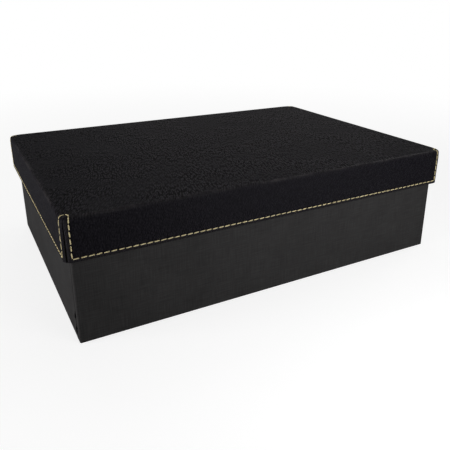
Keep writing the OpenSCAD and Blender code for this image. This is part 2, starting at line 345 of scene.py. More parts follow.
# The seam. The wall is divided finely near the table, and the strip's ends beside the seam, in
# millimetres from it. A nick is a place where the glue lets go: its height and how far it spreads.
SEAM_GAP = 0.2 * MM
SEAM_START = BASE_HALF_W - 5.0 * MM
SEAM_END = SEAM_START - SEAM_GAP
FINE_WALL = 30 * MM
FINE_STEPS = 30
START_STEPS = (0, 0.4, 0.9, 1.6, 2.6)
END_STEPS = (14, 10, 7.5, 5.5, 4, 3, 2.2, 1.5, 0.9, 0.4, 0)
NICKS = [(19.9 * MM, 2.4 * MM), (9.3 * MM, 2.6 * MM)]
NICK_LIFT = 0.75 * MM
NICK_REACH = 4.0 * MM
END_LIFT = 0.1 * MM
END_THINNED = 0.3
START_BACK = 0.4 * MM
START_REACH = 1.0 * MM


class Section:
    """A cross-section of a sheet, drawn from its last vertex by lines and round turns."""

    def __init__(self, mesh, start):
        self.mesh = mesh
        self.tip = mesh.verts.new(start)

    def line(self, move, steps=1):
        """Goes straight on by a move, in equal steps."""
        for _ in range(steps):
            self.tip = bmesh.ops.extrude_vert_indiv(self.mesh, verts=[self.tip])["verts"][0]
            self.tip.co += Vector(move) / steps

    def turn(self, centre, angle, steps):
        """Goes round a centre, about X."""
        made = bmesh.ops.spin(
            self.mesh, geom=[self.tip], cent=centre, axis=(1, 0, 0), angle=angle, steps=steps
        )
        self.tip = next(e for e in made["geom_last"] if isinstance(e, bmesh.types.BMVert))


def smooth_out(mesh):
    """Turns faces outwards and shades them smoothly, but for sharp folds and cut edges."""
    bmesh.ops.recalc_face_normals(mesh, faces=mesh.faces)
    for face in mesh.faces:
        face.smooth = True
    for edge in mesh.edges:
        edge.smooth = edge.calc_face_angle(0) < SHARP_FOLD


def add_piece(name, mesh, finish, body, slot, *stands_for):
    """Makes an object of a finished mesh, which rides on a body in place of its nodes."""
    data = bpy.data.meshes.new(name)
    mesh.to_mesh(data)
    mesh.free()
    data.materials.append(finish)
    piece = bpy.data.objects.new(name, data)
    bpy.context.scene.collection.objects.link(piece)
    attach(piece, body)
    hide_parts(*stands_for)


# The strip's section, with Y as the depth behind the outer face: out along the turn-under, up
# the wall, over the rim, down the turn-in, and back along the pasted side.
wrap_mesh = bmesh.new()
inset = wrap_mesh.verts.layers.float.new("inset")
section = Section(wrap_mesh, (0, TURN_UNDER, UNDER_Z))
first = section.tip
section.line((0, BASE_EDGE_R - TURN_UNDER, 0))
section.turn((0, BASE_EDGE_R, UNDER_Z + BASE_EDGE_R), radians(-90), 5)
section.line((0, 0, SUPPORT))
section.line((0, 0, FINE_WALL), FINE_STEPS)
section.line((0, 0, RIM_Z - RIM_R - SUPPORT - section.tip.co.z))
section.line((0, 0, SUPPORT))
section.turn((0, RIM_R, RIM_Z - RIM_R), radians(-90), 4)
section.line((0, TURN_IN_INSET - 2 * RIM_R, 0))
section.turn((0, TURN_IN_INSET - RIM_R, RIM_Z - RIM_R), radians(-90), 4)
section.line((0, 0, TURN_IN_Z - section.tip.co.z))
section.line((0, -WRAP_T, 0))
section.line((0, 0, RIM_Z - WRAP_T - TURN_IN_Z))
section.line((0, 2 * WRAP_T - TURN_IN_INSET, 0))
section.line((0, 0, UNDER_Z + BASE_EDGE_R + SUPPORT + FINE_WALL - section.tip.co.z))
section.line((0, 0, -FINE_WALL), FINE_STEPS)
section.line((0, 0, UNDER_Z + WRAP_T - section.tip.co.z))
section.line((0, TURN_UNDER - WRAP_T, 0))
wrap_mesh.edges.new((section.tip, first))
for vert in wrap_mesh.verts:
    vert[inset] = vert.co.y


def wrap_place(side, along, turned, depth):
    """Where the strip runs at a depth behind its outer face: on a side, or turned round the
    corner after it. It starts on the left side, runs forwards, and comes back there as side 4,
    where its end stops a gap short of its start."""
    quarter = Matrix.Rotation(side * pi / 2, 3, "Z")
    reach, half = (BASE_HALF_L, BASE_HALF_W) if side % 2 == 0 else (BASE_HALF_W, BASE_HALF_L)
    deep = max(depth, BASE_CORNER_R)
    if turned:
        spare = max(BASE_CORNER_R - depth, 0)
        out, on = reach - deep + spare * cos(turned), half - deep + spare * sin(turned)
    else:
        limit = half - deep - (SEAM_GAP if side == 4 else 0)
        out, on = reach - depth, min(max(along, deep - half), limit)
    return quarter @ Vector((-out, -on, 0))


def nick(height):
    """1 in the middle of a place where the glue lets go, 0 away from it."""
    return min(sum(exp(-(((height - middle) / spread) ** 2)) for middle, spread in NICKS), 1)


# The section is carried round the base in columns: a side, how far along it, and how far turned
# round the corner after it.
columns = [(0, SEAM_START + step * MM, 0) for step in START_STEPS]
for side in range(4):
    half = BASE_HALF_W if side % 2 == 0 else BASE_HALF_L
    after = BASE_HALF_L if side % 2 == 0 else BASE_HALF_W
    columns += [(side, half - BASE_CORNER_R - SUPPORT, 0), (side, half, 0)]
    columns += [(side, 0, step * pi / 2 / TURN_STEPS) for step in range(1, TURN_STEPS)]
    columns += [(side + 1, on - after, 0) for on in (0, BASE_CORNER_R + SUPPORT, after)]
columns += [(4, SEAM_END - step * MM, 0) for step in END_STEPS]
edges = wrap_mesh.edges[:]
verts = wrap_mesh.verts[:]
for column in columns:
    side, along, turned = column
    if column is not columns[0]:
        made = bmesh.ops.extrude_edge_only(wrap_mesh, edges=edges)["geom"]
        verts = {e for e in made if isinstance(e, bmesh.types.BMVert)}
        edges = [e for e in made if isinstance(e, bmesh.types.BMEdge) and set(e.verts) <= verts]
    for vert in verts:
        height = vert.co.z
        vert.co = wrap_place(side, along, turned, vert[inset]) + Vector((0, 0, height))
        if vert[inset] < WRAP_T + CLOSE and UNDER_Z + BASE_EDGE_R < height < RIM_Z - RIM_R:
            if side == 4:
                near = exp(-(((SEAM_END - along) / NICK_REACH) ** 2))
                lift = near * (END_LIFT + NICK_LIFT * nick(height))
                vert.co.x -= lift * (1 + END_THINNED * vert[inset] / WRAP_T)
            elif side == 0 and not turned:
                near = exp(-(((along - SEAM_START) / START_REACH) ** 2))
                vert.co.y -= START_BACK * nick(height) * near
bmesh.ops.remove_doubles(wrap_mesh, verts=wrap_mesh.verts, dist=MERGE)
bmesh.ops.edgeloop_fill(wrap_mesh, edges=[e for e in wrap_mesh.edges if e.is_boundary])
smooth_out(wrap_mesh)

LINEN_THREAD = 0.75 * MM
LINEN_STREAK = 16 * MM
LINEN_RELIEF = 0.05 * MM
LINEN_COLOURS = [
    (0.28, (0.018, 0.0174, 0.0176)),
    (0.5, (0.033, 0.0319, 0.0322)),
    (0.72, (0.050, 0.0485, 0.0488)),
]


def linen_group():
    """Linen embossing on upright walls, threads level and upright: Height and Tone are 0 to 1."""
    group = bpy.data.node_groups.new("linen_grain", "ShaderNodeTree")
    link = group.links.new
    group.interface.new_socket("Height", in_out="OUTPUT", socket_type="NodeSocketFloat")
    group.interface.new_socket("Tone", in_out="OUTPUT", socket_type="NodeSocketFloat")
    end = add_node(group, "NodeGroupOutput")
    place = add_node(group, "ShaderNodeTexCoord")
    split = add_node(group, "ShaderNodeSeparateXYZ")
    along = add_node(group, "ShaderNodeMath", operation="ADD")
    link(place.outputs["Object"], split.inputs[0])
    link(split.outputs["X"], along.inputs[0])
    link(split.outputs["Y"], along.inputs[1])
    level, upright = along.outputs[0], split.outputs["Z"]
    threads = []
    for fine, coarse in ((level, upright), (upright, level)):
        across = add_node(group, "ShaderNodeMath", operation="DIVIDE")
        across.inputs[1].default_value = LINEN_THREAD
        length = add_node(group, "ShaderNodeMath", operation="DIVIDE")
        length.inputs[1].default_value = LINEN_STREAK
        joined = add_node(group, "ShaderNodeCombineXYZ")
        thread = add_node(group, "ShaderNodeTexNoise", Scale=1.0, Detail=2.0, Roughness=0.6)
        link(fine, across.inputs[0])
        link(coarse, length.inputs[0])
        link(across.outputs[0], joined.inputs["X"])
        link(length.outputs[0], joined.inputs["Y"])
        link(joined.outputs[0], thread.inputs["Vector"])
        threads.append(thread.outputs["Fac"])
    woven = add_node(group, "ShaderNodeMath", operation="ADD")
    half = add_node(group, "ShaderNodeMath", operation="MULTIPLY")
    half.inputs[1].default_value = 0.5
    link(threads[0], woven.inputs[0])
    link(threads[1], woven.inputs[1])
    link(woven.outputs[0], half.inputs[0])
    cloud = add_node(group, "ShaderNodeTexNoise", Scale=38.0, Detail=4.0, Roughness=0.65)
    link(place.outputs["Object"], cloud.inputs["Vector"])
    tone = add_node(group, "ShaderNodeMix", data_type="FLOAT")
    tone.inputs["Factor"].default_value = 0.25
    link(half.outputs[0], tone.inputs["A"])
    link(cloud.outputs["Fac"], tone.inputs["B"])
    link(half.outputs[0], end.inputs["Height"])
    link(tone.outputs["Result"], end.inputs["Tone"])
    return group


linen_grain = linen_group()
base_cloth, tree, shader = new_finish("base_linen_cover", Roughness=0.7, Specular_IOR_Level=0.15)
linen = add_node(tree, "ShaderNodeGroup", node_tree=linen_grain)
linen_colour = colour_ramp(tree, linen.outputs["Tone"], LINEN_COLOURS)
tree.links.new(linen_colour, shader.inputs["Base Color"])
bump(tree, shader, linen.outputs["Height"], LINEN_RELIEF)
add_piece("base_linen_wrap", wrap_mesh, base_cloth, "base", "base_wrap", "base_wrap")

# ---------------------------------------------------------------------------------------------
# Lid leatherette. One sheet over the top and the four flaps, its hem turned under the rim. The
# flaps are slit at the corners, and the seam pulls a groove along the hem and up both legs.

cover_low, cover_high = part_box("lid_cover")
HALF_L = cover_high.x
HALF_W = cover_high.y
SKIRT_Z = cover_low.z
TOP_Z = cover_high.z
COVER_T = HALF_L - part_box("lid_front_board")[1].x
LIP_REACH = HALF_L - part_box("lid_top_lining")[1].x
CORNER_R = 4.3 * MM
EDGE_R = 1.8 * MM
LEG_INSET = 4.9 * MM
SLIT_TOP_Z = TOP_Z - 2.6 * MM
SLIT_HEM_HALF = 0.9 * MM
SLIT_CURVE = 0.8
CORNER_STEPS = 13
CORNER_PULL = 1.5 * MM
CORNER_PULL_REACH = 14 * MM

# The seam, and the relief that it gives the sheet.
HEM_Z = SKIRT_Z + 3.0 * MM
HEM_ZONE = 1.6 * MM
LEG_ZONE = 2.0 * MM
LEG_STEPS = 8
COLUMN = 0.7 * MM
STITCH_PITCH = 4.9 * MM
GROOVE_D = 0.3 * MM
GROOVE_HALF = 0.55 * MM
BETWEEN_HOLES = 0.6
HEM_BULGE = 0.3 * MM
LEG_BULGE = 0.16 * MM
BULGE_PINCH = 0.4
PANEL_SWELL = 0.1 * MM
PANEL_SWELL_IN = 1.3 * MM
PANEL_SWELL_HALF = 1.0 * MM
PANEL_PINCH = 0.6
RELIEF_LIMIT = 0.3 * MM
DIMPLE_D = 0.22 * MM
DIMPLE_HALF = 0.6 * MM
RIM_ROLL = 0.6 * MM
RIM_REACH = 1.2 * MM
ROLL_GROWTH = 3
CENTRE_X = HALF_L - CORNER_R
CENTRE_Y = HALF_W - CORNER_R
LEG_FROM_CENTRE = LEG_INSET - CORNER_R
LEG_STITCHES = 5
SIDE_LEG_PITCH = (TOP_Z - EDGE_R - HEM_Z) / LEG_STITCHES


def carry(mesh, edges, move, steps):
    """Draws the sheet from the edges along a straight line, in equal steps."""
    made = bmesh.ops.extrude_edge_only(mesh, edges=edges)["geom"]
    ends = {e for e in made if isinstance(e, bmesh.types.BMVert)}
    last = [e for e in made if isinstance(e, bmesh.types.BMEdge) and set(e.verts) <= ends]
    bmesh.ops.translate(mesh, verts=list(ends), vec=move)
    rails = [e for v in ends for e in v.link_edges if e.other_vert(v) not in ends]
    bmesh.ops.subdivide_edges(mesh, edges=rails, cuts=steps - 1, use_grid_fill=True)
    return last


# The section runs from the top over the edge, down the flap, round the hem and in under the
# rim, and back up the sheet's inner side.
leather_mesh = bmesh.new()
outer_skin = leather_mesh.verts.layers.float.new("outer_skin")
section = Section(leather_mesh, (-CENTRE_X, -CENTRE_Y, TOP_Z))
section.line((0, EDGE_R - CORNER_R, 0), 3)
section.turn((-CENTRE_X, EDGE_R - HALF_W, TOP_Z - EDGE_R), radians(90), 5)
section.line((0, 0, SLIT_TOP_Z - (TOP_Z - EDGE_R)))
section.line((0, 0, HEM_Z + HEM_ZONE - SLIT_TOP_Z), 18)
section.line((0, 0, SKIRT_Z + COVER_T - HEM_Z - HEM_ZONE), 10)
section.turn((-CENTRE_X, COVER_T - HALF_W, SKIRT_Z + COVER_T), radians(90), 4)
outer = set(leather_mesh.verts)
section.line((0, LIP_REACH - COVER_T, 0))
section.line((0, 0, COVER_T))
section.line((0, COVER_T - LIP_REACH, 0))
section.line((0, 0, SLIT_TOP_Z - SKIRT_Z - COVER_T))
section.line((0, 0, TOP_Z - COVER_T - SLIT_TOP_Z))
section.line((0, CORNER_R - COVER_T, 0))
for vert in leather_mesh.verts:
    vert[outer_skin] = 1.0 if vert in outer else 0.0

# The section is carried along each side, finely where a leg of the seam runs, and spun round
# each corner.
edges = leather_mesh.edges[:]
for side in range(4):
    quarter = Matrix.Rotation(side * pi / 2, 3, "Z")
    run = 2 * (CENTRE_X if side % 2 == 0 else CENTRE_Y)
    between = run - 2 * LEG_ZONE
    leg = (LEG_ZONE, LEG_STEPS)
    for length, steps in (leg, (between, ceil(between / COLUMN)), leg):
        edges = carry(leather_mesh, edges, quarter @ Vector((length, 0, 0)), steps)
    outwards = quarter @ Vector((1, -1, 0))
    made = bmesh.ops.spin(
        leather_mesh, geom=edges, cent=(outwards.x * CENTRE_X, outwards.y * CENTRE_Y, 0),
        axis=(0, 0, 1), angle=radians(90), steps=CORNER_STEPS,
    )
    edges = [e for e in made["geom_last"] if isinstance(e, bmesh.types.BMEdge)]
bmesh.ops.remove_doubles(leather_mesh, verts=leather_mesh.verts, dist=MERGE)


def past_centre(point):
    """How far a point lies past the centre of the nearest round corner, outwards along X and Y."""
    return abs(point.x) - CENTRE_X, abs(point.y) - CENTRE_Y


# The middle step of each corner is taken out below the slit's top, and the slit's sides spread
# towards the hem.
gap_half = radians(45) / CORNER_STEPS
slit_faces = []
for face in leather_mesh.faces:
    middle = face.calc_center_median()
    past_x, past_y = past_centre(middle)
    if min(past_x, past_y) > 0 and middle.z < SLIT_TOP_Z:
        if abs(atan2(past_y, past_x) - pi / 4) < gap_half / 2:
            slit_faces.append(face)
bmesh.ops.delete(leather_mesh, geom=slit_faces, context="FACES")
for vert in leather_mesh.verts:
    past_x, past_y = past_centre(vert.co)
    if min(past_x, past_y) > -CLOSE and vert.co.z < SLIT_TOP_Z - CLOSE:
        share = (SLIT_TOP_Z - vert.co.z) / (SLIT_TOP_Z - SKIRT_Z)
        spread = gap_half + share**SLIT_CURVE * (SLIT_HEM_HALF / CORNER_R - gap_half)
        angle = atan2(past_y, past_x)
        turned = (pi / 4 - abs(angle - pi / 4)) * (pi / 4 - spread) / (pi / 4 - gap_half)
        angle = turned if angle < pi / 4 else pi / 2 - turned
        radius = hypot(past_x, past_y)
        if vert[outer_skin]:
            from_rim = (pi / 4 - spread - turned) * CORNER_R
            rolled = exp(-((from_rim / RIM_REACH) ** 2)) * min(share * ROLL_GROWTH, 1)
            radius -= RIM_ROLL * rolled
        vert.co.x = (CENTRE_X + radius * cos(angle)) * (1 if vert.co.x > 0 else -1)
        vert.co.y = (CENTRE_Y + radius * sin(angle)) * (1 if vert.co.y > 0 else -1)

# A roof closes each slit's top. What is still open is filled: the slits' cut sides, and the flat
# middle of the top, outside and inside.
for x_sign in (-1, 1):
    for y_sign in (-1, 1):
        ends = []
        for edge in leather_mesh.edges:
            middle = (edge.verts[0].co + edge.verts[1].co) / 2
            past_x, past_y = past_centre(middle)
            level = max(abs(v.co.z - SLIT_TOP_Z) for v in edge.verts) < CLOSE
            here = middle.x * x_sign > 0 and middle.y * y_sign > 0 and min(past_x, past_y) > 0
            if edge.is_boundary and level and here:
                ends.append(edge)
        bmesh.ops.bridge_loops(leather_mesh, edges=ends)
bmesh.ops.edgeloop_fill(leather_mesh, edges=[e for e in leather_mesh.edges if e.is_boundary])
bmesh.ops.recalc_face_normals(leather_mesh, faces=leather_mesh.faces)


def along_side(point):
    """Where a point lies on its flap: how far from the flap's middle, the half length of the
    flap's hem seam, the pitch of its legs' stitches, and the way outwards."""
    past_x, past_y = past_centre(point)
    sign_x = 1 if point.x > 0 else -1
    sign_y = 1 if point.y > 0 else -1
    round_x, round_y = max(past_x, 0), max(past_y, 0)
    angle = atan2(round_x, round_y) if round_x + round_y > 0 else (0 if past_y > past_x else pi / 2)
    outwards = Vector((sign_x * sin(angle), sign_y * cos(angle), 0))
    if angle < pi / 4:
        place = abs(point.x) if past_x < 0 else CENTRE_X + CORNER_R * angle
        return sign_x * place, CENTRE_X - LEG_FROM_CENTRE, STITCH_PITCH, outwards
    place = abs(point.y) if past_y < 0 else CENTRE_Y + CORNER_R * (pi / 2 - angle)
    return sign_y * place, CENTRE_Y - LEG_FROM_CENTRE, SIDE_LEG_PITCH, outwards


def even_pitch(run):
    """The stitch pitch that fits a whole number of stitches into a run."""
    return run / round(run / STITCH_PITCH)


def near_hole(distance, pitch):
    """1 at a stitch hole, falling to 0 between holes."""
    phase = (distance / pitch) % 1.0
    return exp(-((min(phase, 1 - phase) * pitch / DIMPLE_HALF) ** 2))


def off_seam(place, half_run, height):
    """How far a point lies outside the seam, or inside it if negative."""
    below = HEM_Z - height
    beyond = abs(place) - half_run
    return hypot(max(below, 0), max(beyond, 0)) if max(below, beyond) > 0 else max(below, beyond)


def seam_relief(place, half_run, leg_pitch, height):
    """How far the leatherette stands out: sunk at the seam, pinched at its holes, puffed beside."""
    below = HEM_Z - height
    beyond = abs(place) - half_run
    off = off_seam(place, half_run, height)
    if below > beyond:
        hole = near_hole(place + half_run, even_pitch(2 * half_run))
    else:
        hole = near_hole(height - HEM_Z, leg_pitch)
    depth = GROOVE_D * (BETWEEN_HOLES + (1 - BETWEEN_HOLES) * hole)
    relief = -depth * exp(-((off / GROOVE_HALF) ** 2))
    relief -= DIMPLE_D * hole * exp(-((off / (2 * DIMPLE_HALF)) ** 2))
    if off > 0:
        share = max(below, 0) / (max(below, 0) + max(beyond, 0))
        swell = HEM_BULGE * share + LEG_BULGE * (1 - share)
        relief += swell * sin(pi * min(off / (HEM_Z - SKIRT_Z), 1)) * (1 - BULGE_PINCH * hole)
    else:
        near = exp(-(((off + PANEL_SWELL_IN) / PANEL_SWELL_HALF) ** 2))
        relief += PANEL_SWELL * near * (1 - PANEL_PINCH * hole)
    return relief


for vert in leather_mesh.verts:
    if not vert[outer_skin] or vert.co.z > TOP_Z - CLOSE:
        continue
    place, half_run, leg_pitch, outwards = along_side(vert.co)
    relief = seam_relief(place, half_run, leg_pitch, vert.co.z)
    if vert.co.z > TOP_Z - EDGE_R:
        relief *= (TOP_Z - vert.co.z) / EDGE_R
    vert.co += outwards * min(relief, RELIEF_LIMIT)


def drawn_in(point):
    """How the leatherette, drawn tight over a top corner, moves its points inwards."""
    reach = HALF_L - abs(point.x) + HALF_W - abs(point.y) + TOP_Z - point.z
    pull = CORNER_PULL * max(1 - reach / CORNER_PULL_REACH, 0) ** 2 / 3**0.5
    return Vector((pull if point.x < 0 else -pull, pull if point.y < 0 else -pull, -pull))


for vert in leather_mesh.verts:
    if vert[outer_skin]:
        vert.co += drawn_in(vert.co)
smooth_out(leather_mesh)

# The sheet is laid out flat for its grain: the top as it lies, each flap folded out beyond it.
# A face's corners are placed a little inside it, so that all of them are on the face's own flap.
MAP_MM = 100.0
INSIDE = 0.99
sheet_map = leather_mesh.loops.layers.uv.new("sheet")
for face in leather_mesh.faces:
    middle = face.calc_center_median()
    flat = face.normal.z > 0.9
    for loop in face.loops:
        point = loop.vert.co
        if flat:
            spread_out = Vector(point.xy)
        else:
            place, _, _, outwards = along_side(middle + (point - middle) * INSIDE)
            drop = TOP_Z - point.z
            if abs(outwards.y) > abs(outwards.x):
                spread_out = Vector((place, (HALF_W + drop) * (1 if outwards.y > 0 else -1)))
            else:
                spread_out = Vector(((HALF_L + drop) * (1 if outwards.x > 0 else -1), place))
        loop[sheet_map].uv = spread_out / MM / MAP_MM

# Wear and painted highlight. A frayed band along the top's edge, weaker near the corners, is partly
# rubbed wear and partly a painted highlight along the edge; the strip that stands proud outside the
# seam is painted lighter as a highlight. It spares what lies deeper than the skin, such as the
# turned hem.
EDGE_BAND_IN = 0.4 * MM
EDGE_BAND_HALF = 1.6 * MM
FRAY_LONG = 23 * MM
FRAY_SHORT = 3 * MM
FRAY_LEAST = 0.3
CORNER_SPARED = 0.6
SPARED_REACH = 30 * MM
HEM_HIGHLIGHT = 0.27
HEM_HIGHLIGHT_FROM = 0.2 * MM
HEM_HIGHLIGHT_RISE = 0.6 * MM
SKIN_DEPTH = 0.8 * MM


def edge_wear_and_highlight(point, inwards, down, from_corner):
    """How far the edge of the top is rubbed, and painted lighter as a highlight."""
    fray = 0.5 + 0.9 * noise.noise(point / FRAY_LONG) + 0.5 * noise.noise(point / FRAY_SHORT)
    band = exp(-(((inwards - down - EDGE_BAND_IN) / EDGE_BAND_HALF) ** 2))
    spared = CORNER_SPARED * exp(-((from_corner / SPARED_REACH) ** 2))
    return band * max(fray, FRAY_LEAST) * (1 - spared)


def hem_highlight(point):
    """How far the strip outside the seam is painted lighter, as a highlight."""
    place, half_run, _, _ = along_side(point)
    outside = off_seam(place, half_run, point.z)
    return HEM_HIGHLIGHT * min(max((outside - HEM_HIGHLIGHT_FROM) / HEM_HIGHLIGHT_RISE, 0), 1)


wear_and_highlight = leather_mesh.verts.layers.float.new("wear_and_highlight")
flap = leather_mesh.verts.layers.float.new("flap")
for vert in leather_mesh.verts:
    past_x, past_y = past_centre(vert.co)
    inwards = CORNER_R - (hypot(past_x, past_y) if min(past_x, past_y) > 0 else max(past_x, past_y))
    down = TOP_Z - vert.co.z
    off = hypot(max(EDGE_R - inwards, 0), max(EDGE_R - down, 0)) - EDGE_R
    vert[flap] = min(max(down / EDGE_R, 0.0), 1.0)
    # The edge band is partly wear and partly painted highlight; the strip outside the seam is
    # painted highlight.
    if vert[outer_skin] and off > -SKIN_DEPTH:
        vert[wear_and_highlight] = edge_wear_and_highlight(vert.co, inwards, down, max(-min(past_x, past_y), 0))
        if down > EDGE_R:
            vert[wear_and_highlight] = max(vert[wear_and_highlight], hem_highlight(vert.co))

# Rubbed marks on the top, in millimetres and degrees: where, how turned, how long
# and wide, and how strong.
SCUFFS = [
    (3, -61, 70, 14, 6, 0.4), (91, 2, -42, 40, 6, 0.25), (17, -46, -30, 24, 3, 0.22),
    (-100, 47, 40, 9, 5, 0.26), (-67, 77, 60, 8, 5, 0.24), (128, -28, 10, 9, 5, 0.2),
    (-157, -110, 35, 9, 2, 0.4), (-159, -107, 60, 7, 1.5, 0.35),
]

# The grain, in millimetres on the flat sheet. The pebbles on the top are drawn out along a lean,
# and most of those on the flaps are small and faint. A pebble is 1 on its dome, 0 in its crease.
GRAIN_LEAN = radians(66)
PEBBLE_WIDTH = 1.1
DRAWN_LENGTH = 6.0
SMALL_LENGTH = 1.7
CREASE_AT = 0.75
DOME_AT = 0.05
TOP_SMALL_SHARE = 0.12
FLAP_SMALL_SHARE = 0.6
FLAP_STRENGTH = 0.38
LEATHER_RELIEF = 0.8 * MM
# The colours follow the domes around the leather's own dark violet: darker in the creases as
# painted shade, lighter on the domes as painted highlight.
LEATHER_COLOURS_WITH_GRAIN_SHADING = [
    (0.05, (0.0004, 0.0004, 0.0007)),
    (0.5, (0.0066, 0.0058, 0.0088)),
    (0.9, (0.024, 0.0215, 0.028)),
]
RUBBED_AND_HIGHLIGHT_COLOUR = (0.042, 0.038, 0.040, 1)


def leather_grain_group():
    """Pebbles that come and go in patches: Height and Tone are 0 to 1; Tone follows the domes, for
    painted shade in the creases and painted highlight on the domes.
    """
    group = bpy.data.node_groups.new("leather_grain", "ShaderNodeTree")
    link = group.links.new
    for name in ("Height", "Tone"):
        group.interface.new_socket(name, in_out="OUTPUT", socket_type="NodeSocketFloat")
    end = add_node(group, "NodeGroupOutput")
    sheet = add_node(group, "ShaderNodeUVMap", uv_map="sheet")
    millimetres = add_node(group, "ShaderNodeVectorMath", operation="SCALE")
    millimetres.inputs["Scale"].default_value = MAP_MM
    link(sheet.outputs["UV"], millimetres.inputs[0])

    def shifted(source, scale, reach):
        """Moves points by a cloudy amount, so that rows of pebbles wander."""
        cloud = add_node(
            group, "ShaderNodeTexNoise", noise_dimensions="2D", Scale=scale, Detail=1.0
        )
        centred = add_node(group, "ShaderNodeVectorMath", operation="SUBTRACT")
        centred.inputs[1].default_value = (0.5, 0.5, 0.5)
        push = add_node(group, "ShaderNodeVectorMath", operation="SCALE")
        push.inputs["Scale"].default_value = reach
        moved = add_node(group, "ShaderNodeVectorMath", operation="ADD")
        link(source, cloud.inputs["Vector"])
        link(cloud.outputs["Color"], centred.inputs[0])
        link(centred.outputs[0], push.inputs[0])
        link(source, moved.inputs[0])
        link(push.outputs[0], moved.inputs[1])
        return moved.outputs[0]

    def pebbles(source, length):
        """Domed cells of a length along the lean."""
        turned = add_node(group, "ShaderNodeMapping", vector_type="TEXTURE")
        turned.inputs["Rotation"].default_value = (0, 0, GRAIN_LEAN)
        turned.inputs["Scale"].default_value = (length, PEBBLE_WIDTH, 1)
        cells = add_node(group, "ShaderNodeTexVoronoi", voronoi_dimensions="2D", Scale=1.0)
        dome = add_node(group, "ShaderNodeMapRange", interpolation_type="SMOOTHSTEP")
        dome.inputs["From Min"].default_value = CREASE_AT
        dome.inputs["From Max"].default_value = DOME_AT
        link(source, turned.inputs["Vector"])
        link(turned.outputs[0], cells.inputs["Vector"])
        link(cells.outputs["Distance"], dome.inputs["Value"])
        return dome.outputs["Result"]

    def blend(first, second, share):
        """Mixes two values by a share, either of which is a socket or a number."""
        mix = add_node(group, "ShaderNodeMix", data_type="FLOAT")
        for value, socket in ((first, "A"), (second, "B"), (share, "Factor")):
            if isinstance(value, float):
                mix.inputs[socket].default_value = value
            else:
                link(value, mix.inputs[socket])
        return mix.outputs["Result"]

    swept = shifted(millimetres.outputs[0], scale=0.012, reach=9.0)
    wandering = shifted(swept, scale=0.12, reach=1.0)
    drawn = pebbles(wandering, DRAWN_LENGTH)
    small = pebbles(wandering, SMALL_LENGTH)
    cloud = add_node(
        group, "ShaderNodeTexNoise", noise_dimensions="2D", Scale=0.022, Detail=2.0, Roughness=0.55
    )
    patch = add_node(group, "ShaderNodeMapRange", interpolation_type="SMOOTHSTEP")
    patch.inputs["From Min"].default_value = 0.36
    patch.inputs["From Max"].default_value = 0.6
    patch.inputs["To Min"].default_value = 0.4
    link(wandering, cloud.inputs["Vector"])
    link(cloud.outputs["Fac"], patch.inputs["Value"])
    on_flap = add_node(group, "ShaderNodeAttribute", attribute_name="flap").outputs["Fac"]
    strength = blend(patch.outputs["Result"], FLAP_STRENGTH, on_flap)
    small_share = blend(TOP_SMALL_SHARE, FLAP_SMALL_SHARE, on_flap)
    domes = blend(drawn, small, small_share)
    link(blend(0.0, domes, strength), end.inputs["Height"])
    link(blend(0.5, domes, strength), end.inputs["Tone"])
    return group


leather_grain = leather_grain_group()
leatherette, tree, shader = new_finish("lid_leatherette", Specular_IOR_Level=0.08)
link = tree.links.new
grain = add_node(tree, "ShaderNodeGroup", node_tree=leather_grain)
# Painted shade in the grain's creases and painted highlight on its domes.
sheet_colour_with_grain_shading = colour_ramp(tree, grain.outputs["Tone"], LEATHER_COLOURS_WITH_GRAIN_SHADING)
wear_and_highlight_share = add_node(tree, "ShaderNodeAttribute", attribute_name="wear_and_highlight").outputs["Fac"]
sheet_place = add_node(tree, "ShaderNodeUVMap", uv_map="sheet").outputs["UV"]
for across, depth, turn, length, width, strength in SCUFFS:
    spot = add_node(tree, "ShaderNodeMapping", vector_type="TEXTURE")
    spot.inputs["Location"].default_value = (across / MAP_MM, depth / MAP_MM, 0)
    spot.inputs["Rotation"].default_value = (0, 0, radians(turn))
    spot.inputs["Scale"].default_value = (length / 2 / MAP_MM, width / 2 / MAP_MM, 1)
    reach = add_node(tree, "ShaderNodeVectorMath", operation="LENGTH")
    scuff = add_node(tree, "ShaderNodeMapRange", interpolation_type="SMOOTHSTEP")
    scuff.inputs["To Min"].default_value = strength
    scuff.inputs["To Max"].default_value = 0.0
    both = add_node(tree, "ShaderNodeMath", operation="MAXIMUM")
    link(sheet_place, spot.inputs["Vector"])
    link(spot.outputs[0], reach.inputs[0])
    link(reach.outputs["Value"], scuff.inputs["Value"])
    link(wear_and_highlight_share, both.inputs[0])
    link(scuff.outputs["Result"], both.inputs[1])
    wear_and_highlight_share = both.outputs[0]
# The rubbed colour paints the scuffs and the worn edge, and also the painted highlights along the
# top's edge and on the strip outside the seam.
rubbed_and_highlight_mix = add_node(tree, "ShaderNodeMix", data_type="RGBA")
rubbed_and_highlight_mix.inputs["B"].default_value = RUBBED_AND_HIGHLIGHT_COLOUR
link(wear_and_highlight_share, rubbed_and_highlight_mix.inputs["Factor"])
link(sheet_colour_with_grain_shading, rubbed_and_highlight_mix.inputs["A"])
link(rubbed_and_highlight_mix.outputs["Result"], shader.inputs["Base Color"])
shine = add_node(tree, "ShaderNodeMapRange")
shine.inputs["To Min"].default_value = 0.6
shine.inputs["To Max"].default_value = 0.3
link(grain.outputs["Tone"], shine.inputs["Value"])
link(shine.outputs["Result"], shader.inputs["Roughness"])
bump(tree, shader, grain.outputs["Height"], LEATHER_RELIEF)
add_piece("lid_leatherette", leather_mesh, leatherette, "lid", "leatherette", "lid_cover")

# ---------------------------------------------------------------------------------------------
# Contrast seam. Thick twisted cream thread in long machine stitches: a hem row and two legs on
# each flap, and an arch over each corner. Each stitch dips into its holes and lies a bit aslant.

THREAD_HALF_W = 0.4 * MM
THREAD_HALF_H = 0.3 * MM
STITCH_GAP = 1.0 * MM
STITCH_SLANT = 0.14 * MM
THREAD_LIFT = -0.03 * MM
THREAD_SIDES = 8

